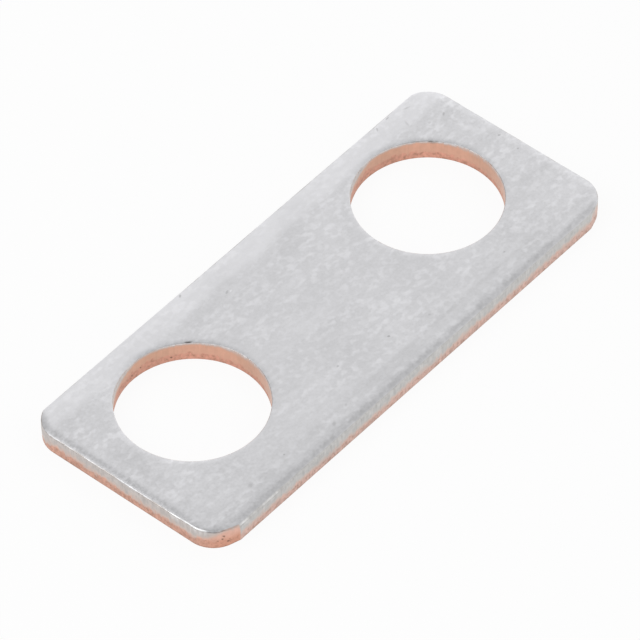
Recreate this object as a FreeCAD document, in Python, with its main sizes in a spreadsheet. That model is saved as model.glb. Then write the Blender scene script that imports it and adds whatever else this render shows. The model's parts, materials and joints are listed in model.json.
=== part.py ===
import FreeCAD, Part
import math
import os
import Sketcher

# Neutral link: a flat bar of tin plated copper that bridges two studs.
# It is slit strip, pierced twice and cropped at both ends by a round cornered punch.
# Every cut went in from the top face, so each cut edge is rolled over at the top,
# then runs straight down, and breaks away at a slight lean towards the bottom face.
# +X runs along the bar, +Z out of the rolled face, and the origin is under the bar's middle.

NODE = "neutral_link"
SHEET = "sizes"

# Driving dimensions: lengths in millimetres, angles in degrees.
SIZES = [
    ("link_length", 50.42, "over the two cropped ends"),
    ("strip_width", 20.48, "over the two slit edges"),
    ("strip_thickness", 2.05, "copper with its tin"),
    ("hole_diameter", 13.0, "clearance on an M12 stud"),
    ("hole_pitch", 30.0, "centre to centre along the bar"),
    ("hole_row_offset", 1.42, "hole row off the middle of the strip, towards +Y"),
    ("corner_radius", 2.7, "round of the cropping punch"),
    ("crop_shift", 0.16, "cropping punch off the middle of the strip, towards +Y"),
    ("crop_flank", 18.0, "lean of the punch's straight flanks, which its corner rounds run into"),
    ("slit_roll_width", 0.95, "rolled top of the long edges, across"),
    ("slit_roll_depth", 0.26, "rolled top of the long edges, down"),
    ("slit_break_height", 0.95, "broken lower part of the long edges"),
    ("crop_roll_width", 0.8, "rolled top of the ends, across"),
    ("crop_roll_depth", 0.24, "rolled top of the ends, down"),
    ("crop_break_height", 0.95, "broken lower part of the ends"),
    ("hole_roll_width", 0.36, "rolled top of the holes, across"),
    ("hole_roll_depth", 0.1, "rolled top of the holes, down"),
    ("hole_break_height", 0.7, "broken lower part of the holes"),
    ("break_lean", 2.2, "lean of every broken face"),
]

# Points of a sketch element, and the two axes of a sketch.
START, END, CENTRE = 1, 2, 3
ACROSS, UPRIGHT = -1, -2
QUARTER = math.pi / 2


def add_sheet(doc):
    sheet = doc.addObject("Spreadsheet::Sheet", SHEET)
    for row, (alias, value, note) in enumerate(SIZES, start=1):
        sheet.set(f"A{row}", alias)
        sheet.set(f"B{row}", str(value))
        sheet.setAlias(f"B{row}", alias)
        sheet.set(f"C{row}", note)
    doc.recompute()
    return sheet


def origin_plane(body, role):
    for feature in body.Origin.OriginFeatures:
        if feature.Role == role:
            return feature
    raise RuntimeError(f"{body.Label} has no {role}")


def add_sketch(body, name, role):
    sketch = body.newObject("Sketcher::SketchObject", name)
    sketch.AttachmentSupport = [(origin_plane(body, role), "")]
    sketch.MapMode = "FlatFace"
    return sketch


def place_sketch(sketch, axis, expression):
    sketch.setExpression(f"AttachmentOffset.Base.{axis}", expression)


def vector(x, y):
    return FreeCAD.Vector(x, y, 0)


def add_line(sketch, start, end):
    return sketch.addGeometry(Part.LineSegment(vector(*start), vector(*end)))


def relate(sketch, kind, *places):
    sketch.addConstraint(Sketcher.Constraint(kind, *places))


def measure(sketch, kind, places, value, expression):
    # A dimension that follows the sheet, started at the value it has now.
    index = sketch.addConstraint(Sketcher.Constraint(kind, *places, value))
    sketch.setExpression(f"Constraints[{index}]", expression)


def chain(sketch, ends):
    # Joins each element's far point to the next one's near point, and the last to the first.
    for (_, far), (near, _) in zip(ends, ends[1:] + ends[:1]):
        relate(sketch, "Coincident", *far, *near)


def add_roll(sketch, wall, top, width, depth, side, depth_name):
    # The rolled edge between a wall and the top face: a wide gentle arc, then a tight nose.
    # The nose is half as deep as the roll. side is 1 with the metal left of the wall, -1 right of it.
    nose = depth / 2
    sweep = (width**2 - width * depth + depth**2) / depth
    wide_centre = vector(wall - side * width, top - sweep)
    nose_centre = vector(wall - side * nose, top - depth)
    turn = math.atan2(nose_centre.y - wide_centre.y, nose_centre.x - wide_centre.x)
    up = FreeCAD.Vector(0, 0, 1)
    if side > 0:
        nose_span, wide_span = (0, turn), (turn, QUARTER)
    else:
        nose_span, wide_span = (turn, 2 * QUARTER), (QUARTER, turn)
    nose_arc = sketch.addGeometry(Part.ArcOfCircle(Part.Circle(nose_centre, up, nose), *nose_span))
    wide_arc = sketch.addGeometry(Part.ArcOfCircle(Part.Circle(wide_centre, up, sweep), *wide_span))
    outer, inner = (START, END) if side > 0 else (END, START)
    relate(sketch, "Tangent", nose_arc, inner, wide_arc, outer)
    relate(sketch, "Horizontal", nose_arc, CENTRE, nose_arc, outer)
    relate(sketch, "Vertical", wide_arc, CENTRE, wide_arc, inner)
    measure(sketch, "Radius", (nose_arc,), nose, f"{SHEET}.{depth_name} / 2")
    return (nose_arc, outer), (wide_arc, inner)


def add_strip(body, size):
    # The strip in section: flat faces, and two slit edges that mirror each other.
    half = size("strip_width") / 2
    top = size("strip_thickness")
    width = size("slit_roll_width")
    depth = size("slit_roll_depth")
    rise = size("slit_break_height")
    foot = half - rise * math.tan(math.radians(size("break_lean")))
    sketch = add_sketch(body, "strip_section", "YZ_Plane")

    bottom = add_line(sketch, (-foot, 0), (foot, 0))
    right_break = add_line(sketch, (foot, 0), (half, rise))
    right_wall = add_line(sketch, (half, rise), (half, top - depth))
    right_low, right_high = add_roll(sketch, half, top, width, depth, 1, "slit_roll_depth")
    face = add_line(sketch, (half - width, top), (width - half, top))
    left_low, left_high = add_roll(sketch, -half, top, width, depth, -1, "slit_roll_depth")
    left_wall = add_line(sketch, (-half, top - depth), (-half, rise))
    left_break = add_line(sketch, (-half, rise), (-foot, 0))
    runs = {part: ((part, START), (part, END)) for part in range(sketch.GeometryCount)}
    outline = [runs[bottom], runs[right_break], runs[right_wall], (right_low, right_high), runs[face]]
    outline += [(left_high, left_low), runs[left_wall], runs[left_break]]
    chain(sketch, outline)

    origin = (ACROSS, START)
    relate(sketch, "PointOnObject", bottom, START, ACROSS)
    for left, right in (
        ((bottom, START), (bottom, END)),
        ((left_wall, END), (right_wall, START)),
        ((left_wall, START), (right_wall, END)),
        ((face, END), (face, START)),
    ):
        relate(sketch, "Symmetric", *left, *right, UPRIGHT)
    relate(sketch, "Vertical", right_wall)
    measure(sketch, "DistanceX", (left_wall, END, right_wall, START), 2 * half, f"{SHEET}.strip_width")
    measure(sketch, "DistanceY", (*origin, face, START), top, f"{SHEET}.strip_thickness")
    measure(sketch, "DistanceX", (face, START, right_wall, END), width, f"{SHEET}.slit_roll_width")
    measure(sketch, "DistanceY", (right_wall, END, face, START), depth, f"{SHEET}.slit_roll_depth")
    measure(sketch, "DistanceY", (*origin, right_wall, START), rise, f"{SHEET}.slit_break_height")
    lean = math.radians(90 - size("break_lean"))
    measure(sketch, "Angle", (right_break,), lean, f"90 deg - {SHEET}.break_lean * 1 deg")

    # Strip is left long by a corner radius at both ends, for the punch to crop.
    strip = body.newObject("PartDesign::Pad", "strip")
    strip.Profile = sketch
    strip.SideType = "Symmetric"
    strip.setExpression("Length", f"{SHEET}.link_length + 2 * {SHEET}.corner_radius")
    return strip


def add_cut_section(body, name, size, cut, wall_at, back_at):
    # Section of the metal that a punch takes out beside one wall, x pointing into the bar.
    # wall_at and back_at are (value, expression), with no expression on the sketch's upright axis.
    wall, wall_expression = wall_at
    back, back_expression = back_at
    top = size("strip_thickness")
    width = size(f"{cut}_roll_width")
    depth = size(f"{cut}_roll_depth")
    rise = size(f"{cut}_break_height")
    lean = math.radians(size("break_lean"))
    toe = wall + (rise + top) * math.tan(lean)
    sketch = add_sketch(body, name, "XZ_Plane")

    below = add_line(sketch, (back, -top), (toe, -top))
    broken = add_line(sketch, (toe, -top), (wall, rise))
    straight = add_line(sketch, (wall, rise), (wall, top - depth))
    low, high = add_roll(sketch, wall, top, width, depth, -1, f"{cut}_roll_depth")
    lip = add_line(sketch, (wall + width, top), (wall + width, 2 * top))
    above = add_line(sketch, (wall + width, 2 * top), (back, 2 * top))
    rear = add_line(sketch, (back, 2 * top), (back, -top))
    runs = {part: ((part, START), (part, END)) for part in range(sketch.GeometryCount)}
    outline = [runs[below], runs[broken], runs[straight], (low, high), runs[lip], runs[above], runs[rear]]
    chain(sketch, outline)

    origin = (ACROSS, START)
    for part in (below, above):
        relate(sketch, "Horizontal", part)
    for part in (straight, lip, rear):
        relate(sketch, "Vertical", part)
    for (part, value, expression) in ((straight, wall, wall_expression), (rear, back, back_expression)):
        if expression is None:
            relate(sketch, "PointOnObject", part, START, UPRIGHT)
        elif value > 0:
            measure(sketch, "DistanceX", (*origin, part, START), value, expression)
        else:
            measure(sketch, "DistanceX", (part, START, *origin), -value, expression)
    measure(sketch, "DistanceY", (below, START, *origin), top, f"{SHEET}.strip_thickness")
    measure(sketch, "DistanceY", (*origin, above, START), 2 * top, f"2 * {SHEET}.strip_thickness")
    measure(sketch, "DistanceY", (*origin, lip, START), top, f"{SHEET}.strip_thickness")
    measure(sketch, "DistanceX", (straight, END, lip, START), width, f"{SHEET}.{cut}_roll_width")
    measure(sketch, "DistanceY", (straight, END, lip, START), depth, f"{SHEET}.{cut}_roll_depth")
    measure(sketch, "DistanceY", (*origin, straight, START), rise, f"{SHEET}.{cut}_break_height")
    measure(sketch, "Angle", (broken,), QUARTER + lean, f"90 deg + {SHEET}.break_lean * 1 deg")
    return sketch


def add_crop_path(body, size):
    # Edge of the cropping punch in plan, at the -X end: a straight nose, a round at each corner,
    # and a straight flank that leads out of the strip.
    radius = size("corner_radius")
    end = -size("link_length") / 2
    reach = size("strip_width") / 2 - radius
    shift = size("crop_shift")
    sweep = QUARTER - math.radians(size("crop_flank"))
    sketch = add_sketch(body, "crop_path", "XY_Plane")

    rounds, flanks = [], []
    for side in (1, -1):
        middle = vector(end + radius, shift + side * reach)
        circle = Part.Circle(middle, FreeCAD.Vector(0, 0, 1), radius)
        first, last = sorted((math.pi, math.pi - side * sweep))
        rounds.append(sketch.addGeometry(Part.ArcOfCircle(circle, first, last)))
        leave = middle + vector(-radius * math.cos(sweep), side * radius * math.sin(sweep))
        away = leave + vector(radius * math.sin(sweep), side * radius * math.cos(sweep))
        flanks.append(add_line(sketch, leave[:2], away[:2]))
    upper, lower = rounds
    nose = add_line(sketch, (end, shift + reach), (end, shift - reach))
    relate(sketch, "Tangent", upper, END, nose, START)
    relate(sketch, "Tangent", nose, END, lower, START)
    relate(sketch, "Tangent", upper, START, flanks[0], START)
    relate(sketch, "Tangent", lower, END, flanks[1], START)
    relate(sketch, "Vertical", nose)
    relate(sketch, "Equal", upper, lower)

    origin = (ACROSS, START)
    measure(sketch, "Radius", (upper,), radius, f"{SHEET}.corner_radius")
    measure(sketch, "DistanceX", (nose, START, *origin), -end, f"{SHEET}.link_length / 2")
    half_nose = f"{SHEET}.strip_width / 2 - {SHEET}.corner_radius"
    measure(sketch, "DistanceY", (*origin, nose, START), reach + shift, f"{half_nose} + {SHEET}.crop_shift")
    measure(sketch, "DistanceY", (nose, END, *origin), reach - shift, f"{half_nose} - {SHEET}.crop_shift")
    for part in rounds:
        measure(sketch, "Angle", (part,), sweep, f"90 deg - {SHEET}.crop_flank * 1 deg")
    for part in flanks:
        measure(sketch, "Distance", (part,), radius, f"{SHEET}.corner_radius")
    return sketch


def add_crop(body, size):
    # The cropping punch takes off everything outside its path, out past the end of the strip.
    path = add_crop_path(body, size)
    back = -3 * size("corner_radius")
    section = add_cut_section(
        body, "crop_section", size, "crop", (0, None), (back, f"3 * {SHEET}.corner_radius")
    )
    place_sketch(section, "x", f"-{SHEET}.link_length / 2")
    place_sketch(section, "z", f"-{SHEET}.crop_shift")
    crop = body.newObject("PartDesign::SubtractivePipe", "crop")
    crop.Profile = section
    crop.Spine = (path, [f"Edge{n + 1}" for n in range(path.GeometryCount)])
    return crop


def add_hole(body, size):
    # The hole on the -X side, turned about its own axis.
    wall = size("hole_diameter") / 2
    section = add_cut_section(
        body, "hole_section", size, "hole", (wall, f"{SHEET}.hole_diameter / 2"), (0, None)
    )
    place_sketch(section, "x", f"-{SHEET}.hole_pitch / 2")
    place_sketch(section, "z", f"-{SHEET}.hole_row_offset")
    hole = body.newObject("PartDesign::Groove", "hole")
    hole.Profile = section
    hole.ReferenceAxis = (section, ["V_Axis"])
    hole.Angle = 360
    return hole


def build():
    doc = FreeCAD.newDocument(NODE)
    sheet = add_sheet(doc)

    def size(alias):
        return float(sheet.get(alias))

    body = doc.addObject("PartDesign::Body", NODE)
    body.Label = NODE
    strip = add_strip(body, size)
    doc.recompute()
    crop = add_crop(body, size)
    doc.recompute()
    hole = add_hole(body, size)
    doc.recompute()

    # Both cuts again at the +X end.
    other_end = body.newObject("PartDesign::Mirrored", "other_end")
    other_end.Originals = [crop, hole]
    other_end.MirrorPlane = (origin_plane(body, "YZ_Plane"), [""])
    body.Tip = other_end
    doc.recompute()
    check(doc, [strip, crop, hole, other_end])
    return body


def check(doc, steps):
    for thing in doc.Objects:
        if "Invalid" in thing.State or "Error" in thing.State:
            raise RuntimeError(f"{thing.Label} failed: {thing.State}")
    for step in steps:
        if step.Shape.isNull() or not step.Shape.isValid():
            raise RuntimeError(f"{step.Label} has no sound shape")
    for before, after in zip(steps, steps[1:]):
        if after.Shape.Volume >= before.Shape.Volume:
            raise RuntimeError(f"{after.Label} takes nothing away")
    if len(steps[-1].Shape.Solids) != 1:
        raise RuntimeError("the link is not one solid")


link = build()
os.makedirs("parts", exist_ok=True)
link.Shape.exportStep(f"parts/{link.Label}.step")
box = link.Shape.optimalBoundingBox(False)
print(f"{link.Label}: {box.XLength:.3f} x {box.YLength:.3f} x {box.ZLength:.3f} mm, {link.Shape.Volume:.2f} mm3")
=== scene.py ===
import json
import math

import bmesh
import bpy
from mathutils import Matrix, Vector, noise


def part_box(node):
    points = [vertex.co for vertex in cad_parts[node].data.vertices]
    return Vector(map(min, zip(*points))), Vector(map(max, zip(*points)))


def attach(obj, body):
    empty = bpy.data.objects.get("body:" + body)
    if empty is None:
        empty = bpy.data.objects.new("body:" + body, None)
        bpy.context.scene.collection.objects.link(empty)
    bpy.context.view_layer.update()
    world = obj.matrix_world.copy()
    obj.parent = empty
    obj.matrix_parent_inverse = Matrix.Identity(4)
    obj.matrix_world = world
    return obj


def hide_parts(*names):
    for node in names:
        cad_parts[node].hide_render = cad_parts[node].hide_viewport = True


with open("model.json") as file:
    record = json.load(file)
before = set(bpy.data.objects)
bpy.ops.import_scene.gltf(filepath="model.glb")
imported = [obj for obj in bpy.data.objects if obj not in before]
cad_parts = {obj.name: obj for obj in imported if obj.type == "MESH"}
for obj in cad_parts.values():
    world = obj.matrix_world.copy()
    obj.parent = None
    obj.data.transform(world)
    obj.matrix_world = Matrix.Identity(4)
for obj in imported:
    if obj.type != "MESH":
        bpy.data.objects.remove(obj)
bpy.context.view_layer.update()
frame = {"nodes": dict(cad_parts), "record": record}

print("frame loaded:", ", ".join(frame["nodes"]))

mm = 0.001  # the bar is modelled in millimetres and scaled to metres at the end
tolerance = 1e-4


def mix(a, b, share):
    return a + (b - a) * share


def smoothStep(low, high, value):
    t = min(1.0, max(0.0, (value - low) / (high - low)))
    return t * t * (3 - 2 * t)


def within(rise, fall, value):
    # 1 between a soft rise and a soft fall, 0 outside them
    return smoothStep(*rise, value) * (1 - smoothStep(*fall, value))


# The bar: slit strip, cropped by a round cornered punch, pierced twice, all cut from the top face.
bar = {
    "name": "neutral_link_bar",
    "node": "neutral_link",
    "slot": "tinned_copper",
    "cornerRadius": 2.7,
    "cropShift": 0.16,               # punch off the strip's middle, towards +Y
    "cropFlank": 18.0,               # lean of the punch's straight flanks beyond its corner rounds
    "stationStep": 0.12,             # spacing of the points round the outline
    "cornerSteps": 4,                # fewest points round a corner
    "holeStations": 336,
    "flatMargin": 0.12,              # flat ring kept beside each rolled or broken edge
    "breakLean": 2.2,
    "rollFadeFront": (44.0, 72.0),   # turns over which the ends' roll gives out at the -Y corners
    "rollFadeBack": (64.0, 88.0),    # and at the +Y corners
    "rollJoin": 4,                   # power that runs the ends' roll and the sides' roll into each other
    "rollUneven": 0.10,              # share by which the ends' roll is deeper or shallower along its run
    "slitUneven": 0.4,               # share of that on the slit sides
}
# Cut edges: the roll's width, depth and nose, the break's height, and the height that the tin is dragged
# down to, how far that wanders and how sharply the tin ends there.
slitEdge = {
    "rollWidth": 0.95, "rollDepth": 0.26, "rollNose": 0.13, "breakHeight": 0.95,
    "tinFoot": 0.80, "tinWander": 0.14, "tinSharp": 1.0,
}
cropEdge = {
    "rollWidth": 0.8, "rollDepth": 0.24, "rollNose": 0.12, "breakHeight": 0.95,
    "tinFoot": 0.95, "tinWander": 0.16, "tinSharp": 1.0,
}
holeEdge = {
    "rollWidth": 0.5, "rollDepth": 0.085, "rollNose": 0.05, "breakHeight": 0.75,
    "tinFoot": 1.83, "tinWander": 0.05, "tinSharp": 2.0,
}
# The -Y side's roll is uneven: x, and its width, depth and nose there.
slitRun = [
    (-19.0, 1.3, 0.44, 0.27),
    (-11.0, 1.05, 0.41, 0.26),
    (6.0, 1.0, 0.42, 0.27),
    (18.0, 0.85, 0.38, 0.25),
]
# Round the holes, angles are from +X. A span has a rise and a fall.
holeRound = {
    "webSpan": ((66.0, 88.0), (118.0, 145.0)),    # beside the thin web at +Y, where the roll is wider
    "webRoll": {"rollWidth": 0.75, "rollDepth": 0.17, "rollNose": 0.08},
    "litSpan": ((-4.0, 18.0), (44.0, 74.0)),      # painted light: where the wall faces the front and its copper is paler
    "paintedHighlightSpan": ((44.0, 56.0), (90.0, 102.0)),  # painted highlight: where the rim is made palest, and smoothest
    "paintedDim": 0.35,                                 # how strong the painted highlight is elsewhere
    "tinLow": 1.35,                               # foot of the tin on the left
    "tinLowTurn": (82.0, 112.0),
    "tinSoft": 0.95,                              # sharpness of the tin's foot on the right
    "tinSoftTurn": (31.0, 4.0),
    "breakRise": 0.32,                            # the break is higher to one side
    "breakRiseAt": 115.0,
}
# Dents in the hole rims: hole, angle round it, half length and depth in millimetres.
rimDents = [(0, 44.0, 0.42, 0.04), (0, 27.5, 0.22, 0.03), (1, 37.0, 0.40, 0.04), (1, 52.0, 0.25, 0.02)]
dentFlat = 0.3  # share of a dent that has its full depth
dentFade = 3    # power by which it fades across the roll
# The corner nearest the camera has a rounder roll where the end runs into it.
nearCorner = {"nose": 0.2, "along": (5.0, 7.0), "turns": (26.0, 44.0)}
# At the left corner the tin reaches further down.
leftCorner = {"tinFoot": 0.55, "turns": (5.0, 22.0)}
# Corners by (end, side) where the punch shaved a sliver: turns over which the tin gives out, how far up.
shavedCorners = {(-1, -1): (2.0, 64.0, 1.0), (-1, 1): (40.0, 74.0, 0.6), (1, -1): (30.0, 60.0, 0.5)}
shavedRim = 0.02  # tin left at the rim there
# Painted highlight: stretches where the nose of the rolled edge is made paler, standing in for the lamp's
# highlight there: from, to and strength.
paintedHighlightEnd = {
    "stretches": [  # along y on the -X end
        (4.4, 6.9, 0.2), (1.0, 4.4, 0.17), (-1.6, 1.2, 0.1),
        (-3.2, -2.4, 0.06), (-4.8, -3.8, 0.12), (-9.1, -4.8, 0.95),
    ],
    "beads": 1.9,   # how much the brightness comes and goes
    "reach": 0.6,   # how far in from the end its corner still counts
}
paintedHighlightSide = {
    "stretches": [  # along x on the -Y side
        (-23.0, -21.4, 0.42), (-20.9, -20.4, 0.2), (-19.8, -17.7, 0.3), (1.9, 2.6, 0.3),
        (10.2, 10.8, 0.25), (-23.0, -10.0, 0.08), (-10.0, 23.0, 0.05),
    ],
    "beads": 1.0,
}
paintedHighlightFade = (0.1, 0.3)                           # soft ends of a stretch, outwards and inwards
paintedHighlightWaves = ((1.9, 4.5, 0.5), (3.7, 8.5, 0.5))  # waves per millimetre, row and layer of the noise
rubAndHighlightRidge = {
    "narrow": (0.02, 0.06),  # shares of the roll's width that get the painted highlight, on the end
    "wide": (0.02, 0.1),     # and on the side, on the holes and where the end is bright
    "wideFrom": 0.5,         # strength from which the end is bright
}
paintedHighlightWall = {"from": 0.4, "down": 0.7, "weight": 0.5}  # painted highlight run down the wall: strength from which it does, how far
# Unevenness along the edges: waves per millimetre, height and layer of the noise.
edgeWaves = {
    "tinFoot": ((0.33, 1.0, 0.5), (1.9, 0.5, 3.5)),
    "roll": ((0.6, 1.0, 12.5), (2.1, 0.6, 15.5)),
    "breakTop": ((0.45, 0.09, 7.5), (2.7, 0.05, 9.5)),
}
loopRow = 11.0  # rows of the noise between the outline and each hole
# Roughness of the broken band.
breakRough = {
    "along": 3.5,       # cells per millimetre along it
    "up": 1.7,          # and up it
    "finer": 2.3,       # how much finer the second grain is
    "finerShare": 0.6,
    "depth": 0.02,
    "fadeIn": 4,        # how fast it sets in at the top
    "fadeOut": 1.25,    # what the share of the way down is taken from
}

low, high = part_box(bar["node"])
halfLength = (high.x - low.x) / 2 / mm
halfWidth = (high.y - low.y) / 2 / mm
thickness = (high.z - low.z) / mm
bores = [m for m in frame["record"]["mounts"] if m["kind"] == "bore"]
holes = [(Vector(m["pos_m"][:2]) / mm, m["dims"]["r_mm"]) for m in bores]
cornerRadius = bar["cornerRadius"]
coreLength = halfLength - cornerRadius
coreWidth = halfWidth - cornerRadius


def corePoint(point):
    # nearest point of the inner rectangle that the punch's corner rounds are struck from
    x = min(coreLength, max(-coreLength, point.x))
    y = min(coreWidth, max(-coreWidth, point.y - bar["cropShift"])) + bar["cropShift"]
    return Vector((x, y))


def turnOf(point):
    # how far round a corner a point lies: 0 on the cropped end, 90 on the long side
    core = corePoint(point)
    return math.degrees(math.atan2(abs(point.y - core.y), abs(point.x - core.x)))


def onSlit(point):
    return abs(abs(point.y) - halfWidth) < tolerance


def angleRound(station):
    away = station["place"] - station["centre"]
    return math.degrees(math.atan2(away.y, away.x))


def rollDrop(inset, edge):
    # two tangent arcs: a wide gentle one from the face, then a tight nose into the wall
    width, depth, nose = edge["rollWidth"], edge["rollDepth"], edge["rollNose"]
    if inset >= width:
        return 0.0
    sweep = ((width - nose) ** 2 + depth * depth - nose * nose) / (2 * (depth - nose))
    meeting = nose + nose * (nose - width) / (sweep - nose)
    if inset > meeting:
        return sweep - math.sqrt(sweep * sweep - (width - inset) ** 2)
    return depth - math.sqrt(max(0.0, nose * nose - (nose - max(0.0, inset)) ** 2))


def slitAt(point):
    # the slit edge at a point
    if point.y > 0:
        return slitEdge
    roll = slitRun[0][1:]
    for (first, *before), (last, *after) in zip(slitRun, slitRun[1:]):
        if point.x > first:
            roll = [mix(a, b, smoothStep(first, last, point.x)) for a, b in zip(before, after)]
    return {**slitEdge, "rollWidth": roll[0], "rollDepth": roll[1], "rollNose": roll[2]}


def cropNose(point):
    if point.x > -coreLength or point.y > 0:
        return cropEdge["rollNose"]
    along = smoothStep(*nearCorner["along"], -point.y)
    there = along * (1 - smoothStep(*nearCorner["turns"], turnOf(point)))
    return mix(cropEdge["rollNose"], nearCorner["nose"], there)


def cropShare(point):
    # 1 along the cropped end, fading to 0 where a corner round shaves only a sliver off the slit edge
    if abs(point.x) <= coreLength:
        return 0.0
    fade = bar["rollFadeFront"] if point.y < 0 else bar["rollFadeBack"]
    return 1 - smoothStep(*fade, turnOf(point))


def faceDrop(point):
    # how far the rolled edges pull the top face down at a point of the plan
    slit = rollDrop(halfWidth - abs(point.y), slitAt(point))
    share = cropShare(point)
    if share == 0:
        return slit
    inset = cornerRadius - (point - corePoint(point)).length
    crop = share * rollDrop(inset, {**cropEdge, "rollNose": cropNose(point)})
    return (slit ** bar["rollJoin"] + crop ** bar["rollJoin"]) ** (1 / bar["rollJoin"])


def spinArc(bm, vert, centre, angle):
    steps = max(bar["cornerSteps"], round(abs(angle) * cornerRadius / bar["stationStep"]))
    spun = bmesh.ops.spin(bm, geom=[vert], cent=centre, axis=(0, 0, 1), angle=angle, steps=steps)
    return next(g for g in spun["geom_last"] if isinstance(g, bmesh.types.BMVert))


def walkLoop(start):
    ordered, edge = [start], start.link_edges[0]
    while True:
        vert = edge.other_vert(ordered[-1])
        if vert is start:
            return ordered
        ordered.append(vert)
        edge = next(e for e in vert.link_edges if e is not edge)


def traceCorner(bm, start, side, way):
    # a corner round from the cropped end, then the punch's straight flank out to the slit edge
    flank = math.radians(bar["cropFlank"])
    centre = Vector((side * coreLength, bar["cropShift"] + way * coreWidth, 0))
    reach = min(1.0, (halfWidth - way * centre.y) / cornerRadius)
    turn = min(math.pi / 2 - flank, math.asin(reach))
    stop = spinArc(bm, start, centre, side * way * turn)
    left = halfWidth - way * stop.co.y
    if left < tolerance:
        return stop
    out = bmesh.ops.extrude_vert_indiv(bm, verts=[stop])["verts"][0]
    bmesh.ops.translate(bm, verts=[out], vec=(-side * left / math.tan(flank), way * left, 0))
    return out


def traceEnd(bm, side):
    upper = bm.verts.new((side * halfLength, bar["cropShift"] + coreWidth, 0))
    lower = bm.verts.new((side * halfLength, bar["cropShift"] - coreWidth, 0))
    bm.edges.new((upper, lower))
    return traceCorner(bm, upper, side, 1), traceCorner(bm, lower, side, -1)


def traceOutline(bm):
    for a, b in zip(traceEnd(bm, -1), traceEnd(bm, 1)):
        bm.edges.new((a, b))
    for edge in [e for e in bm.edges if e.calc_length() > 2 * bar["stationStep"]]:
        cuts = round(edge.calc_length() / bar["stationStep"]) - 1
        bmesh.ops.subdivide_edges(bm, edges=[edge], cuts=cuts)
    bm.verts.ensure_lookup_table()
    return walkLoop(bm.verts[0])


def layStations(bm, verts, centre=None):
    # numbers the points of a loop and notes each one's place, way into the metal and run along the edge
    number = bm.verts.layers.int["station"]
    stations, run = [], 0.0
    for index, vert in enumerate(verts):
        place = vert.co.xy.copy()
        if stations:
            run += (place - stations[-1]["place"]).length
        away = place - centre if centre else corePoint(place) - place
        vert[number] = index
        stations.append({"place": place, "inward": away.normalized(), "run": run, "centre": centre})
    return stations


def alongEdge(kind, run, row):
    return sum(height * noise.noise((run * waves, row, layer)) for waves, height, layer in edgeWaves[kind])


def dentAt(station, hole):
    # depth of the rim's dents at a station of a hole
    radius = (station["place"] - station["centre"]).length
    depth = 0.0
    for number, middle, reach, deep in rimDents:
        along = abs(math.radians(angleRound(station) - middle)) * radius
        if number == hole and along < reach:
            depth += deep * (1 - smoothStep(dentFlat * reach, reach, along))
    return depth


def paintedHighlightAt(place, run):
    # strength of the painted highlight on the nose of the rolled edge at a point of the outline
    if place.x < paintedHighlightEnd["reach"] - halfLength or (place.x < -coreLength and not onSlit(place)):
        along, edge = place.y, paintedHighlightEnd
    elif onSlit(place) and place.y < 0:
        along, edge = place.x, paintedHighlightSide
    else:
        return 0.0
    outer, inner = paintedHighlightFade
    strength = 0.0
    for first, last, bright in edge["stretches"]:
        strength += bright * within((first - outer, first + inner), (last - inner, last + outer), along)
    beads = sum(noise.noise((run * waves, row, layer)) for waves, row, layer in paintedHighlightWaves)
    return strength * max(0.0, 1 + edge["beads"] * beads)


def holeSection(station, hole):
    # the cut edge at a station of a hole
    angle = angleRound(station)
    web = within(*holeRound["webSpan"], angle)
    edge = {key: mix(value, holeRound["webRoll"].get(key, value), web) for key, value in holeEdge.items()}
    soft = smoothStep(*holeRound["tinSoftTurn"], angle)
    edge["tinSharp"] = mix(edge["tinSharp"], holeRound["tinSoft"], soft)
    dent = dentAt(station, hole)
    tilt = holeRound["breakRise"] * math.cos(math.radians(angle - holeRound["breakRiseAt"]))
    return {
        "edge": edge,
        "gain": 1.0,
        "dent": dent,
        "rim": thickness - edge["rollDepth"] - dent,
        # 3 with painted light where the hole's wall faces the front
        "crop": 2.0 + within(*holeRound["litSpan"], angle),
        "shaved": 0.0,
        # painted highlight on the rim, strongest over a span
        "rubAndPaintedHighlight": mix(holeRound["paintedDim"], 1.0, within(*holeRound["paintedHighlightSpan"], angle)),
        "ridge": rubAndHighlightRidge["wide"],
        "tinFoot": mix(edge["tinFoot"], holeRound["tinLow"], smoothStep(*holeRound["tinLowTurn"], angle)),
        "breakTop": edge["breakHeight"] + tilt,
    }


def outlineSection(station):
    # the cut edge at a station of the outline
    place, run = station["place"], station["run"]
    share = cropShare(place)
    edge = {key: mix(value, cropEdge[key], share) for key, value in slitAt(place).items()}
    gain = 1 + bar["rollUneven"] * alongEdge("roll", run, 0.0) * mix(bar["slitUneven"], 1.0, share)
    rim = thickness - gain * faceDrop(place)
    crop, foot, shaved = share, edge["tinFoot"], 0.0
    corner = (math.copysign(1, place.x), math.copysign(1, place.y))
    if corner == (-1, 1):
        foot = mix(foot, leftCorner["tinFoot"], smoothStep(*leftCorner["turns"], turnOf(place)) * crop)
    if corner in shavedCorners and not onSlit(place):
        first, last, most = shavedCorners[corner]
        shaved = most * smoothStep(first, last, turnOf(place))
        foot = mix(foot, rim - shavedRim, shaved)
        if corner[0] < 0:
            crop = mix(crop, 1.0, shaved)
    strength = paintedHighlightAt(place, run)
    ridge = "wide" if onSlit(place) or strength > rubAndHighlightRidge["wideFrom"] else "narrow"
    return {
        "edge": edge,
        "gain": gain,
        "dent": 0.0,
        "rim": rim,
        "crop": crop,
        "shaved": shaved if corner == (-1, -1) else 0.0,
        "rubAndPaintedHighlight": strength,
        "ridge": rubAndHighlightRidge[ridge],
        "tinFoot": foot,
        "breakTop": edge["breakHeight"],
    }


def finishStation(station, number):
    section = holeSection(station, number - 1) if station["centre"] else outlineSection(station)
    run, row = station["run"], loopRow * number
    section["tinFoot"] += section["edge"]["tinWander"] * alongEdge("tinFoot", run, row)
    section["breakTop"] += alongEdge("breakTop", run, row)
    station.update(section)


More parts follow.
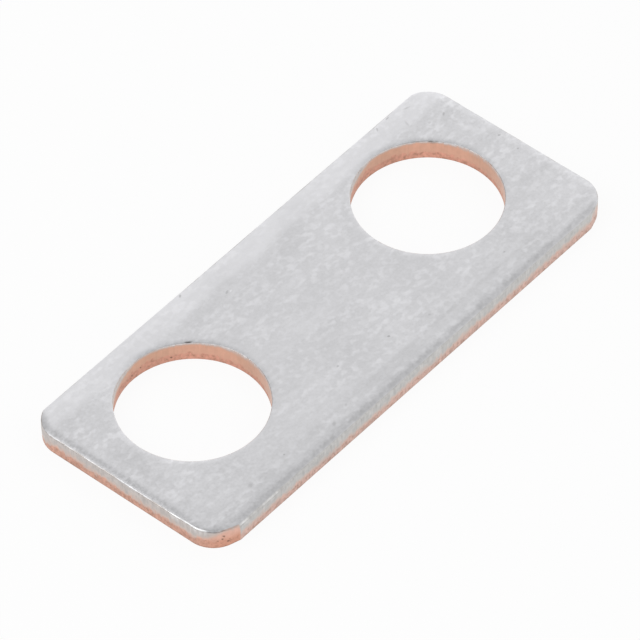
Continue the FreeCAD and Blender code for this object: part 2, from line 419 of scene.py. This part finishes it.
# Rings of an edge from the top face to the bottom face, as (kind, share of that stretch).
rollShares = (1.0, 0.82, 0.66, 0.52, 0.40, 0.30, 0.21, 0.135, 0.09, 0.055, 0.03, 0.012, 0.003)
straightShares = (0.0, 0.2, 0.4, 0.6, 0.8, 1.0)
breakShares = (0.1, 0.24, 0.4, 0.56, 0.72, 0.88, 1.0)
footShares = (0.02, 1.0)
edgeRings = [("roll", s) for s in rollShares]
edgeRings += [("straight", s) for s in straightShares]
edgeRings += [("broken", s) for s in breakShares]
edgeRings += [("foot", s) for s in footShares]
noseShare = 0.1  # share of the roll below which it counts as part of the wall
offWall = -1.0   # depth that points have that aren't on a wall
wallFade = 0.1   # how far past that the walls' look is full
# What each point tells the finish: depth below the tin and below the break's top, the kind of cut (0 slit,
# 1 cropped, 2 pierced, 3 pierced and facing the front with painted light), the strength of the painted
# highlight, and how far it is shaved.
edgeMarks = ("bare", "broken", "crop", "nose", "shaved")


def breakInset(station, height, share):
    # the break leans in under the bar, and is rough
    spot = Vector((*station["place"] * breakRough["along"], height * breakRough["up"]))
    grain = noise.noise(spot) + breakRough["finerShare"] * noise.noise(spot * breakRough["finer"])
    fade = min(1.0, share * breakRough["fadeIn"]) * (breakRough["fadeOut"] - share)
    lean = math.tan(math.radians(bar["breakLean"]))
    return (station["breakTop"] - height) * lean + breakRough["depth"] * grain * fade


def ringPlace(station, kind, share):
    # inset and height of a ring at a station
    edge = station["edge"]
    if kind == "top":
        return edge["rollWidth"] + bar["flatMargin"], thickness
    if kind == "roll":
        inset = share * edge["rollWidth"]
        if station["centre"]:
            drop = rollDrop(inset, edge)
        else:
            drop = faceDrop(station["place"] + station["inward"] * inset)
        return inset, thickness - station["gain"] * drop - station["dent"] * (1 - share) ** dentFade
    if kind == "straight":
        return 0.0, mix(station["rim"], station["breakTop"], share)
    if kind == "broken":
        height = station["breakTop"] * (1 - share)
        return breakInset(station, height, share), height
    lean = math.tan(math.radians(bar["breakLean"]))
    return station["breakTop"] * lean + share * bar["flatMargin"], 0.0


# strength of the painted highlight at a ring: on the ridge of the roll, and down the wall below a bright
# nose
def noseAt(station, kind, share):
    first, last = station["ridge"]
    if kind == "roll" and first < share < last:
        return station["rubAndPaintedHighlight"]
    if kind == "straight" and not station["centre"]:
        over = max(0.0, station["rubAndPaintedHighlight"] - paintedHighlightWall["from"])
        return paintedHighlightWall["weight"] * over * max(0.0, paintedHighlightWall["down"] - share)
    return 0.0


def placeRing(bm, verts, stations, kind, share):
    number = bm.verts.layers.int["station"]
    bare, broken, crop, nose, shaved = (bm.verts.layers.float[name] for name in edgeMarks)
    onWall = kind in ("straight", "broken") or (kind == "roll" and share < noseShare)
    for vert in verts:
        station = stations[vert[number]]
        inset, height = ringPlace(station, kind, share)
        vert[bare] = station["edge"]["tinSharp"] * (station["tinFoot"] - height) if onWall else offWall
        vert[broken] = station["breakTop"] - height if onWall else offWall
        vert[crop] = station["crop"]
        vert[nose] = noseAt(station, kind, share)
        vert[shaved] = station["shaved"]
        spread = station["place"] + station["inward"] * inset
        vert.co = (*spread, height)


def growRing(bm, edges, stations, kind, share):
    grown = bmesh.ops.extrude_edge_only(bm, edges=edges)["geom"]
    verts = [g for g in grown if isinstance(g, bmesh.types.BMVert)]
    fresh = set(verts)
    placeRing(bm, verts, stations, kind, share)
    return [g for g in grown if isinstance(g, bmesh.types.BMEdge) and all(v in fresh for v in g.verts)]


def cutEdge(bm, verts, edges, stations):
    # runs a loop of the top face over its rolled edge, down the wall and in under the bottom face
    placeRing(bm, verts, stations, "top", 1.0)
    loop = edges
    for kind, share in edgeRings:
        loop = growRing(bm, loop, stations, kind, share)
        if kind == "broken" and share == 1.0:
            for edge in loop:
                edge.smooth = False  # the bottom edge is crisp
    return loop


def buildBar():
    bm = bmesh.new()
    bm.verts.layers.int.new("station")
    for name in edgeMarks:
        bm.verts.layers.float.new(name)
    outline = traceOutline(bm)
    loops = [(outline, bm.edges[:], layStations(bm, outline))]
    for centre, radius in holes:
        around = bmesh.ops.create_circle(
            bm, segments=bar["holeStations"], radius=radius, matrix=Matrix.Translation(centre.to_3d())
        )["verts"]
        edges = list({e for v in around for e in v.link_edges})
        loops.append((around, edges, layStations(bm, around, centre)))
    topLoops, bottomLoops = [], []
    for number, (verts, edges, stations) in enumerate(loops):
        for station in stations:
            finishStation(station, number)
        topLoops += edges
        bottomLoops += cutEdge(bm, verts, edges, stations)
    bmesh.ops.triangle_fill(bm, use_beauty=True, edges=topLoops, normal=(0, 0, 1))
    bmesh.ops.triangle_fill(bm, use_beauty=True, edges=bottomLoops, normal=(0, 0, -1))
    for face in bm.faces:
        face.smooth = True
    bmesh.ops.recalc_face_normals(bm, faces=bm.faces)
    bmesh.ops.scale(bm, vec=(mm, mm, mm), verts=bm.verts)
    mesh = bpy.data.meshes.new(bar["name"])
    bm.to_mesh(mesh)
    bm.free()
    piece = bpy.data.objects.new(bar["name"], mesh)
    bpy.context.scene.collection.objects.link(piece)
    return piece


link = buildBar()
print("bar built:", len(link.data.vertices), "points,", len(link.data.polygons), "faces")


# Finish: matt tin over copper, dragged down over the cut edges, copper bare below it.
finish = {
    "tinDull": (0.53, 0.53, 0.539),
    "tinBright": (0.922, 0.92, 0.945),
    "tinOnCrop": (0.575, 0.53, 0.506),
    "tinOnSlit": (0.57, 0.56, 0.547),
    # painted highlight on the noses of the rolled edges
    "tinPaintedHighlight": (0.95, 0.95, 0.95),
    "tinSmear": (0.64, 0.52, 0.465),       # tin smeared thin over copper
    "copperSlit": (0.67, 0.475, 0.41),
    "copperCrop": (0.72, 0.46, 0.375),
    "copperHole": (0.62, 0.362, 0.26),
    "copperPaintedLit": (0.70, 0.396, 0.288),     # painted light: the holes' walls that face the front, paler as if lit
    "copperShaved": ((0.71, 0.385, 0.28), (0.75, 0.46, 0.37)),  # low and high on the near corner
    "brokenSlit": (0.69, 0.49, 0.425),
    "brokenCrop": (0.68, 0.41, 0.32),
    "brokenHole": (0.66, 0.36, 0.27),
    # painted light: the break on the holes' walls that face the front
    "brokenPaintedLit": (0.73, 0.39, 0.295),
    "speck": (0.52, 0.29, 0.205),          # deeper copper in specks of the broken foot
    "pit": (0.29, 0.165, 0.12),
    # painted shade in the rim dents
    "dentShade": (0.13, 0.11, 0.1),
    "tinTone": 0.52,                       # where the face lies between tinDull and tinBright
    "tinRough": (0.36, 0.46),
    "noseRough": 0.32,
    "copperRough": 0.36,
    "brokenRough": 0.58,
}
# Patterns: cells per millimetre along x, y and z, detail, warp and seed. Those of the tin's face have a
# weight in its tone, those of the walls have weights by what they lie on.
tinStreaks = {"cells": (0.3, 1.2, 1.0), "detail": 2.0, "warp": 0.4, "seed": 0.0, "weight": 0.24}
tinRows = {
    "cells": (0.09, 0.9, 1.0), "detail": 1.0, "warp": 0.3, "seed": 3.0,
    "span": (0.36, 0.62), "least": 0.35,
}
tinBeads = {
    "cells": (1.9, 2.5, 1.0), "detail": 0.6, "warp": 0.2, "seed": 4.0,
    "span": (0.4, 0.74), "weight": 0.23,
}
tinClouds = {"cells": (0.2, 0.28, 0.3), "detail": 2.0, "warp": 0.0, "seed": 9.0, "weight": 0.34}
tinGrain = {
    "cells": (3.7, 3.9, 4.0), "detail": 2.2, "warp": 0.0, "seed": 0.0,
    "span": (0.3, 0.7), "weight": 0.5,
}
wallStreaks = {
    "cells": (6.0, 6.0, 0.55), "detail": 2.0, "warp": 0.0, "seed": 0.0,
    "onTin": 0.35, "atFoot": 0.35, "onCopper": 0.45, "onShaved": 0.1,
}
wallMottle = {
    "cells": (2.1, 2.1, 1.6), "detail": 3.0, "warp": 0.0, "seed": 2.0,
    "onTin": 0.5, "atFoot": 1.1, "atHoleFoot": 0.6, "onCopper": 0.7, "onShaved": 0.3,
    "atBreak": 1.6, "onPeach": 0.5,
}
breakGrain = {
    "cells": (7.0, 7.0, 5.0), "detail": 3.0, "warp": 0.0, "seed": 6.0,
    "pits": (0.66, 0.74), "pitRim": 0.35,
}
breakSpeckle = {
    "cells": (3.2, 3.2, 2.8), "detail": 2.0, "warp": 0.0, "seed": 5.0,
    "specks": (0.5, 0.72), "strength": 0.55, "onEdges": -0.25, "inHoles": -0.55,
}
seedShift = (1.0, 1.7, 0.6)  # cells along x, y and z that a seed moves its pattern by
# How the tin gives way to copper, by depth below its foot.
tinBorder = {
    "smear": (-0.512, 0.064),  # depths over which it thins to a smear
    "copper": (-0.192, 0.32),  # and over which copper comes through
    "holeSmear": 0.92,         # shade of the smear in the holes
    "shavedFull": 0.6,         # how far an edge is shaved where its border is evenest
    "shavedUneven": 0.35,      # share of the unevenness that is left there
}
# How copper differs down a wall and in the holes.
copperWall = {
    "breakAt": (-0.1, 0.25),   # depths from the break's top over which the copper turns broken
    "peachAt": (1.0, 1.8),     # heights over which the near corner grows paler
    "holeCalm": 0.4,           # share of streaks, mottle and pits in the holes
    "footHeight": 0.22,        # height over which the foot of the outer walls is darker
    "footShade": 0.84,
    "holeShade": 0.94,
    "pitCore": 0.25,           # share of a pit that has its full depth
}
holeRimHighlight = {"share": 0.62, "fade": 0.2}  # share of the painted highlight on the hole rims, and how soon
# Bands along the bar: y where they start and are full, how far that wanders, weight in the tone. The first
# is brighter and smoother, along the +Y edge.
edgeBand = {"from": 7.6, "to": 8.5, "wander": 0.6, "weight": 0.21, "texture": 0.6}
dullBand = {"from": -7.9, "to": -8.25, "wander": 0.4, "weight": -0.07}
# Painted shade along the -Y side's rolled edge, written as the bands are.
paintedRollShade = {
    "from": -9.5, "to": -9.85, "wander": 0.2, "weight": -0.17,
    "start": (-23.2, -21.8), "end": (23.6, 21.6),  # x over which it comes in and goes out
}
endTexture = {"from": 11.0, "to": 20.0, "gain": 1.25}  # coarser texture towards the ends
# Handling marks on the top face, and two patches of painted shade by the rolled corners: place, half
# length, half width, turn from +X, weight in the tone.
topMarks = [
    ((0.0, -8.2), 26.0, 0.36, 0.0, -0.06),
    ((-18.85, -8.15), 0.5, 0.26, 20.0, -0.22),
    ((-9.45, -9.05), 0.34, 0.22, 30.0, -0.3),
    ((-7.27, -8.47), 0.22, 0.16, 30.0, -0.25),
    ((12.2, -8.25), 0.6, 0.3, 10.0, -0.12),
    ((14.25, -7.5), 0.16, 0.11, 0.0, -0.4),
    ((4.8, -7.26), 0.16, 0.14, 0.0, -0.25),
    # painted shade beside the near corner's rolled edge
    ((-22.9, -8.3), 2.2, 1.3, -45.0, -0.08),
    # painted shade on the left corner's rolled edge
    ((-24.45, 9.2), 1.5, 0.5, 52.0, -0.2),
    ((-23.1, -0.5), 5.0, 1.5, 90.0, -0.10),
    ((0.79, -6.25), 0.17, 0.13, -30.0, -0.9),
    ((-4.02, 7.2), 0.30, 0.14, 20.0, -0.45),
    ((-3.7, 7.05), 0.24, 0.10, 20.0, 0.35),
    ((-4.44, -5.2), 0.20, 0.12, 10.0, -0.45),
    ((-14.6, -8.1), 0.12, 0.10, 0.0, -0.5),
    ((-6.8, 9.93), 0.3, 0.14, 40.0, -0.6),
    ((20.43, 8.25), 0.46, 0.14, 69.0, -0.25),
    ((21.75, 6.86), 0.22, 0.18, 0.0, -0.3),
    ((21.8, 9.45), 0.5, 0.14, -22.0, -0.35),
    ((18.3, 9.75), 0.36, 0.10, 50.0, -0.5),
    ((19.9, 9.96), 0.30, 0.12, 10.0, -0.5),
    ((23.3, 6.6), 0.30, 0.14, 30.0, -0.4),
    ((24.4, 1.4), 0.20, 0.14, -20.0, -0.5),
    ((24.2, -0.8), 0.14, 0.12, 0.0, -0.45),
]
# Painted shade in the dents of the hole rims, written as the marks are.
rimDentShades = [((-10.27, 5.99), 0.46, 0.08, 134.0, 0.9), ((20.27, 5.26), 0.6, 0.08, 126.0, 0.35)]
markDepth = 0.5   # how far down a mark or patch of painted shade reaches
markCore = 0.35   # share of it that has its full strength
# Pits in the copper of the near corner and of the left hole: place and half width.
wallPits = [
    ((-23.89, -9.68, 1.34), 0.17), ((-23.60, -9.83, 0.58), 0.16), ((-24.29, -9.39, 0.86), 0.11),
    ((-23.98, -9.62, 1.02), 0.11), ((-23.45, -9.88, 0.80), 0.10),
    ((-15.43, 7.91, 1.67), 0.10), ((-15.09, 7.92, 0.63), 0.13), ((-14.15, 7.86, 0.85), 0.10),
    ((-15.23, 7.92, 0.38), 0.10), ((-11.44, 6.86, 0.50), 0.12), ((-11.73, 7.04, 0.38), 0.10),
]
# Relief of the patterns, in units of a thousandth of a millimetre.
relief = {"unit": 0.001, "streaks": 2.0, "beads": 1.2, "grain": 0.8, "wallStreaks": 5.0, "broken": 26.0}


def feed(socket, value):
    if isinstance(value, bpy.types.NodeSocket):
        socket.id_data.links.new(value, socket)
    else:
        socket.default_value = value


def addNode(tree, kind, **settings):
    node = tree.nodes.new("ShaderNode" + kind)
    for key, value in settings.items():
        setattr(node, key, value)
    return node


def calc(tree, operation, first, second=0.0):
    node = addNode(tree, "Math", operation=operation)
    feed(node.inputs[0], first)
    feed(node.inputs[1], second)
    return node.outputs[0]


def times(tree, first, second):
    return calc(tree, "MULTIPLY", first, second)


def centred(tree, pattern):
    # a pattern runs from 0 to 1, and this from -0.5 to 0.5
    return calc(tree, "SUBTRACT", pattern, 0.5)


def weigh(tree, base, value, weight):
    # base plus a weighted value
    node = addNode(tree, "Math", operation="MULTIPLY_ADD")
    feed(node.inputs[0], value)
    feed(node.inputs[1], weight)
    feed(node.inputs[2], base)
    return node.outputs[0]


def ramp(tree, value, low, high, start=0.0, end=1.0):
    node = addNode(tree, "MapRange", interpolation_type="SMOOTHSTEP")
    feed(node.inputs["Value"], value)
    node.inputs["From Min"].default_value = low
    node.inputs["From Max"].default_value = high
    node.inputs["To Min"].default_value = start
    node.inputs["To Max"].default_value = end
    return node.outputs["Result"]


def between(tree, share, first, second):
    node = addNode(tree, "Mix")
    feed(node.inputs[0], share)
    feed(node.inputs[2], first)
    feed(node.inputs[3], second)
    return node.outputs[0]


def blend(tree, share, first, second):
    node = addNode(tree, "Mix", data_type="RGBA")
    feed(node.inputs[0], share)
    feed(node.inputs[6], (*first, 1) if isinstance(first, tuple) else first)
    feed(node.inputs[7], (*second, 1) if isinstance(second, tuple) else second)
    return node.outputs[2]


def scaled(tree, vector, factor):
    node = addNode(tree, "VectorMath", operation="SCALE")
    feed(node.inputs[0], vector)
    feed(node.inputs["Scale"], factor)
    return node.outputs["Vector"]


def grained(tree, place, pattern):
    spread = addNode(tree, "Mapping")
    feed(spread.inputs["Vector"], place)
    spread.inputs["Location"].default_value = [pattern["seed"] * shift for shift in seedShift]
    spread.inputs["Scale"].default_value = pattern["cells"]
    texture = addNode(tree, "TexNoise")
    feed(texture.inputs["Vector"], spread.outputs["Vector"])
    texture.inputs["Scale"].default_value = 1
    texture.inputs["Detail"].default_value = pattern["detail"]
    texture.inputs["Distortion"].default_value = pattern["warp"]
    return texture.outputs["Fac"]


def bandMask(tree, across, wavy, band):
    # a band with a wavy border
    middle = band["wander"] / 2
    return ramp(tree, weigh(tree, across, wavy, band["wander"]), band["from"] + middle, band["to"] + middle)


def markMask(tree, place, centre, halfLong, halfWide, turn):
    # a soft ellipse on the top face
    turned = addNode(tree, "Mapping", vector_type="TEXTURE")
    feed(turned.inputs["Vector"], place)
    turned.inputs["Location"].default_value = (*centre, thickness)
    turned.inputs["Rotation"].default_value = (0, 0, math.radians(turn))
    turned.inputs["Scale"].default_value = (halfLong, halfWide, markDepth)
    away = addNode(tree, "VectorMath", operation="LENGTH")
    feed(away.inputs[0], turned.outputs["Vector"])
    return ramp(tree, away.outputs["Value"], markCore, 1.0, 1.0, 0.0)


def pitMask(tree, look, centre, reach):
    # a ragged pit in a wall
    away = addNode(tree, "VectorMath", operation="DISTANCE")
    feed(away.inputs[0], look["place"])
    away.inputs[1].default_value = centre
    ragged = weigh(tree, away.outputs["Value"], look["chips"], breakGrain["pitRim"])
    return ramp(tree, ragged, copperWall["pitCore"] * reach, reach, 1.0, 0.0)


def surfaceLook(tree):
    # what the finish is worked out from: the place in millimetres, the edges' marks and the patterns
    place = scaled(tree, addNode(tree, "TexCoord").outputs["Object"], 1 / mm)
    axes = addNode(tree, "SeparateXYZ")
    feed(axes.inputs[0], place)
    look = {name: addNode(tree, "Attribute", attribute_name=name).outputs["Fac"] for name in edgeMarks}
    look.update(place=place, x=axes.outputs["X"], y=axes.outputs["Y"], z=axes.outputs["Z"])
    look["cropped"] = ramp(tree, look["crop"], 0, 1)
    look["pierced"] = ramp(tree, look["crop"], 1, 2)
    # share of painted light on the holes' walls that face the front
    look["lit"] = ramp(tree, look["crop"], 2, 3)
    look["wall"] = ramp(tree, look["broken"], offWall, offWall + wallFade)
    look["streaks"] = grained(tree, place, tinStreaks)
    rows = ramp(tree, grained(tree, place, tinRows), *tinRows["span"], tinRows["least"], 1.0)
    look["beads"] = times(tree, ramp(tree, grained(tree, place, tinBeads), *tinBeads["span"]), rows)
    look["clouds"] = grained(tree, place, tinClouds)
    look["grain"] = grained(tree, place, tinGrain)
    look["vertical"] = grained(tree, place, wallStreaks)
    look["mottle"] = grained(tree, place, wallMottle)
    look["streaky"] = centred(tree, look["vertical"])
    look["blotchy"] = centred(tree, look["mottle"])
    look["grit"] = grained(tree, place, breakGrain)
    look["chips"] = centred(tree, look["grit"])
    ragged = weigh(tree, look["broken"], look["blotchy"], wallMottle["atBreak"])
    look["fracture"] = ramp(tree, ragged, *copperWall["breakAt"])
    return look


def tinOnFace(tree, look):
    # rolling streaks, rows of pale beads, clouds and grain, then the bands and marks, painted shade among
    # them
    texture = times(tree, centred(tree, look["streaks"]), tinStreaks["weight"])
    texture = weigh(tree, texture, look["beads"], tinBeads["weight"])
    texture = weigh(tree, texture, centred(tree, look["grain"]), tinGrain["weight"])
    bright = bandMask(tree, look["y"], look["clouds"], edgeBand)
    texture = times(tree, texture, ramp(tree, bright, 0, 1, 1.0, edgeBand["texture"]))
    outward = calc(tree, "ABSOLUTE", look["x"])
    coarser = ramp(tree, outward, endTexture["from"], endTexture["to"], 1.0, endTexture["gain"])
    texture = times(tree, texture, coarser)
    tone = weigh(tree, texture, centred(tree, look["clouds"]), tinClouds["weight"])
    tone = weigh(tree, tone, bright, edgeBand["weight"])
    tone = weigh(tree, tone, bandMask(tree, look["y"], look["clouds"], dullBand), dullBand["weight"])
    # painted shade along the -Y side's rolled edge
    paintedDim = bandMask(tree, look["y"], look["grain"], paintedRollShade)
    for span in ("start", "end"):
        paintedDim = times(tree, paintedDim, ramp(tree, look["x"], *paintedRollShade[span]))
    tone = weigh(tree, tone, paintedDim, paintedRollShade["weight"])
    tone = calc(tree, "ADD", tone, finish["tinTone"])
    for *mark, weight in topMarks:
        tone = weigh(tree, tone, markMask(tree, look["place"], *mark), weight)
    return blend(tree, tone, finish["tinDull"], finish["tinBright"])


def tinOnWalls(tree, look):
    # tin dragged over the cut edges, thinner on the ends than on the slit sides
    shade = weigh(tree, 1.0, look["blotchy"], wallMottle["onTin"])
    shade = weigh(tree, shade, look["streaky"], wallStreaks["onTin"])
    return scaled(tree, blend(tree, look["cropped"], finish["tinOnSlit"], finish["tinOnCrop"]), shade)


def byCut(tree, look, kind):
    # a colour of the walls by the kind of cut, with painted light on the holes' walls that face the front
    outer = blend(tree, look["cropped"], finish[kind + "Slit"], finish[kind + "Crop"])
    inner = blend(tree, look["lit"], finish[kind + "Hole"], finish[kind + "PaintedLit"])
    return blend(tree, look["pierced"], outer, inner)


def copperShade(tree, look, speckle, calm):
    # streaks and mottle, speckle in the break, and a darker foot
    shaved, pierced = look["shaved"], look["pierced"]
    streaked = ramp(tree, shaved, 0, 1, wallStreaks["onCopper"], wallStreaks["onShaved"])
    mottled = ramp(tree, shaved, 0, 1, wallMottle["onCopper"], wallMottle["onShaved"])
    uneven = weigh(tree, times(tree, look["streaky"], streaked), look["blotchy"], mottled)
    speckled = times(tree, centred(tree, speckle), look["fracture"])
    weight = ramp(tree, pierced, 0, 1, breakSpeckle["onEdges"], breakSpeckle["inHoles"])
    shade = weigh(tree, weigh(tree, 1.0, uneven, calm), speckled, weight)
    foot = ramp(tree, look["z"], 0.0, copperWall["footHeight"], copperWall["footShade"], 1.0)
    return times(tree, shade, calc(tree, "MAXIMUM", foot, times(tree, pierced, copperWall["holeShade"])))


def bareCopper(tree, look):
    # burnished and streaked above, broken, redder and pitted below
    copper = blend(tree, look["fracture"], byCut(tree, look, "copper"), byCut(tree, look, "broken"))
    uneven = weigh(tree, look["z"], look["mottle"], wallMottle["onPeach"])
    peach = ramp(tree, uneven, *copperWall["peachAt"])
    copper = blend(tree, look["shaved"], copper, blend(tree, peach, *finish["copperShaved"]))
    speckle = grained(tree, look["place"], breakSpeckle)
    specks = times(tree, ramp(tree, speckle, *breakSpeckle["specks"]), look["fracture"])
    copper = blend(tree, times(tree, specks, breakSpeckle["strength"]), copper, finish["speck"])
    calm = ramp(tree, look["pierced"], 0, 1, 1.0, copperWall["holeCalm"])
    copper = scaled(tree, copper, copperShade(tree, look, speckle, calm))
    pits = times(tree, times(tree, ramp(tree, look["grit"], *breakGrain["pits"]), look["fracture"]), calm)
    for centre, reach in wallPits:
        pits = calc(tree, "MAXIMUM", pits, pitMask(tree, look, centre, reach))
    return blend(tree, pits, copper, finish["pit"])


def bareEdge(tree, look):
    # depth below the tin's foot, made uneven
    mottled = ramp(tree, look["pierced"], 0, 1, wallMottle["atFoot"], wallMottle["atHoleFoot"])
    uneven = weigh(tree, times(tree, look["streaky"], wallStreaks["atFoot"]), look["blotchy"], mottled)
    calm = ramp(tree, look["shaved"], 0, tinBorder["shavedFull"], 1.0, tinBorder["shavedUneven"])
    return weigh(tree, look["bare"], uneven, calm)


def roughness(tree, look, coppery):
    tin = ramp(tree, look["grain"], *tinGrain["span"], *finish["tinRough"])
    copper = ramp(tree, look["fracture"], 0, 1, finish["copperRough"], finish["brokenRough"])
    rubAndPaintedHighlight = times(tree, look["nose"], look["pierced"])
    return between(tree, rubAndPaintedHighlight, between(tree, coppery, tin, copper), finish["noseRough"])


def reliefNormal(tree, look):
    height = times(tree, look["streaks"], relief["streaks"])
    height = weigh(tree, height, look["beads"], relief["beads"])
    height = weigh(tree, height, look["grain"], relief["grain"])
    height = weigh(tree, height, times(tree, look["vertical"], look["wall"]), relief["wallStreaks"])
    height = weigh(tree, height, times(tree, look["chips"], look["fracture"]), relief["broken"])
    bump = addNode(tree, "Bump")
    bump.inputs["Distance"].default_value = relief["unit"] * mm
    feed(bump.inputs["Height"], height)
    return bump.outputs["Normal"]


def tinnedCopper():
    material = bpy.data.materials.new("tinned_copper")
    material.use_nodes = True
    tree = material.node_tree
    shader = tree.nodes["Principled BSDF"]
    look = surfaceLook(tree)
    pierced = look["pierced"]
    tin = blend(tree, look["wall"], tinOnFace(tree, look), tinOnWalls(tree, look))
    # painted highlight: the noses of the rolled edges made paler by its strength, less so in the holes
    rubAndPaintedHighlight = times(tree, look["nose"], ramp(tree, pierced, 0, holeRimHighlight["fade"], 1.0, holeRimHighlight["share"]))
    tin = blend(tree, rubAndPaintedHighlight, tin, finish["tinPaintedHighlight"])
    edge = bareEdge(tree, look)
    smear = scaled(tree, finish["tinSmear"], ramp(tree, pierced, 0, 1, 1.0, tinBorder["holeSmear"]))
    tin = blend(tree, ramp(tree, edge, *tinBorder["smear"]), tin, smear)
    coppery = ramp(tree, edge, *tinBorder["copper"])
    colour = blend(tree, coppery, tin, bareCopper(tree, look))
    # painted shade in the dents of the hole rims
    for *dentShade, weight in rimDentShades:
        dark = times(tree, markMask(tree, look["place"], *dentShade), weight)
        colour = blend(tree, dark, colour, finish["dentShade"])
    feed(shader.inputs["Base Color"], colour)
    shader.inputs["Metallic"].default_value = 1
    feed(shader.inputs["Roughness"], roughness(tree, look, coppery))
    feed(shader.inputs["Normal"], reliefNormal(tree, look))
    return material


link.data.materials.append(tinnedCopper())
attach(link, "root")
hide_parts(bar["node"])
print("finish applied")


# Stage: a pale floor, a soft pale surround that is brightest low down behind, and one soft lamp.
stage = {
    "floorSize": 3.0,
    "floorDrop": 0.00002,
    "floorColour": (0.96, 0.96, 0.96, 1),
    "floorGlow": 0.93,
    "behind": 1.06,               # level of the surround low down behind
    "right": 0.93,                # and low down on the right
    "behindSpan": (-0.4, 0.4),    # y over which one turns into the other
    "lowBehind": 0.09,            # share that it loses towards the floor behind
    "lowSpan": (0.7, 0.45),       # heights over which it does
    "backSpan": (0.0, 0.5),       # and y
    "left": 0.4,                  # share of it that is left towards the left
    "leftSpan": (0.05, 0.5),      # x over which it falls to that
    "frontSkew": 0.65,            # how far the brighter right reaches round the front
    "overheadFrom": 0.72,         # height from which the surround darkens to its level overhead
    "overhead": 0.26,
    "gapWay": (-0.51, -0.44, 0.74),
    "gapShade": 0.5,              # share left where the surround is open at the front
    "gapReach": (38.0, 8.0),
}
# Lamp: where from, distance and size in metres, power.
lamp = {"name": "left_softbox", "from": (-0.62, 0.24, 0.75), "distance": 0.5, "size": 0.46, "power": 0.95}


def paleFloor():
    material = bpy.data.materials.new("pale_floor")
    material.use_nodes = True
    tree = material.node_tree
    tree.nodes.remove(tree.nodes["Principled BSDF"])
    matt = addNode(tree, "BsdfDiffuse")
    matt.inputs["Color"].default_value = stage["floorColour"]
    glow = addNode(tree, "Emission")
    rays = addNode(tree, "LightPath")
    seen = calc(tree, "MAXIMUM", rays.outputs["Is Camera Ray"], rays.outputs["Is Glossy Ray"])
    seen = calc(tree, "MAXIMUM", seen, rays.outputs["Is Transmission Ray"])
    blended = addNode(tree, "MixShader")
    feed(blended.inputs[0], times(tree, seen, stage["floorGlow"]))
    feed(blended.inputs[1], matt.outputs[0])
    feed(blended.inputs[2], glow.outputs[0])
    feed(tree.nodes["Material Output"].inputs["Surface"], blended.outputs[0])
    return material


def layFloor():
    bm = bmesh.new()
    bmesh.ops.create_grid(bm, x_segments=1, y_segments=1, size=stage["floorSize"] / 2,
                          matrix=Matrix.Translation((0, 0, -stage["floorDrop"])))
    mesh = bpy.data.meshes.new("floor")
    bm.to_mesh(mesh)
    bm.free()
    floor = bpy.data.objects.new("floor", mesh)
    bpy.context.scene.collection.objects.link(floor)
    floor.data.materials.append(paleFloor())


def lightSurround():
    world = bpy.data.worlds.new("pale_surround")
    bpy.context.scene.world = world
    world.use_nodes = True
    tree = world.node_tree
    way = addNode(tree, "TexCoord").outputs["Generated"]
    axes = addNode(tree, "SeparateXYZ")
    feed(axes.inputs[0], way)
    x, y, z = axes.outputs
    level = ramp(tree, y, *stage["behindSpan"], stage["right"], stage["behind"])
    front = calc(tree, "MAXIMUM", times(tree, y, -stage["frontSkew"]), 0.0)
    across = calc(tree, "ADD", x, front)
    level = times(tree, level, ramp(tree, across, *stage["leftSpan"], stage["left"], 1.0))
    lowBack = times(tree, ramp(tree, z, *stage["lowSpan"]), ramp(tree, y, *stage["backSpan"]))
    level = times(tree, level, weigh(tree, 1.0, lowBack, -stage["lowBehind"]))
    dome = addNode(tree, "MapRange")
    feed(dome.inputs["Value"], z)
    dome.inputs["From Min"].default_value = stage["overheadFrom"]
    dome.inputs["From Max"].default_value = 1
    dome.inputs["To Min"].default_value = stage["behind"]
    dome.inputs["To Max"].default_value = stage["overhead"]
    level = calc(tree, "MINIMUM", level, dome.outputs["Result"])
    facing = addNode(tree, "VectorMath", operation="DOT_PRODUCT")
    feed(facing.inputs[0], way)
    facing.inputs[1].default_value = stage["gapWay"]
    outer, inner = (math.cos(math.radians(reach)) for reach in stage["gapReach"])
    shade = ramp(tree, facing.outputs["Value"], outer, inner, 1.0, stage["gapShade"])
    feed(tree.nodes["Background"].inputs["Color"], times(tree, level, shade))


def hangLamp():
    data = bpy.data.lights.new(lamp["name"], "AREA")
    data.shape = "SQUARE"
    data.size = lamp["size"]
    data.energy = lamp["power"]
    softbox = bpy.data.objects.new(lamp["name"], data)
    way = Vector(lamp["from"]).normalized()
    turned = way.to_track_quat("Z", "Y").to_matrix().to_4x4()
    softbox.matrix_world = Matrix.Translation(way * lamp["distance"]) @ turned
    bpy.context.scene.collection.objects.link(softbox)


layFloor()
lightSurround()
hangLamp()
print("stage set")


# Camera: a long lens from the near left, looking down on the bar. Distance and aim are in millimetres.
view = {
    "azimuth": -49.038,
    "elevation": 47.458,
    "distance": 603.3,
    "lookAt": (-0.0392, 0.4951, 0.0),
    "roll": -0.751,
    "lens": 409.489,
    "clip": (0.05, 10.0),  # metres
}


def placeCamera():
    data = bpy.data.cameras.new("camera")
    data.lens = view["lens"]
    data.clip_start, data.clip_end = view["clip"]
    camera = bpy.data.objects.new("camera", data)
    camera.matrix_world = (
        Matrix.Translation(Vector(view["lookAt"]) * mm)
        @ Matrix.Rotation(math.radians(view["azimuth"]), 4, "Z")
        @ Matrix.Rotation(math.radians(90 - view["elevation"]), 4, "X")
        @ Matrix.Translation((0, 0, view["distance"] * mm))
        @ Matrix.Rotation(math.radians(view["roll"]), 4, "Z")
    )
    bpy.context.scene.collection.objects.link(camera)
    bpy.context.scene.camera = camera


placeCamera()
bpy.context.scene.view_settings.view_transform = "Standard"
print("camera placed")
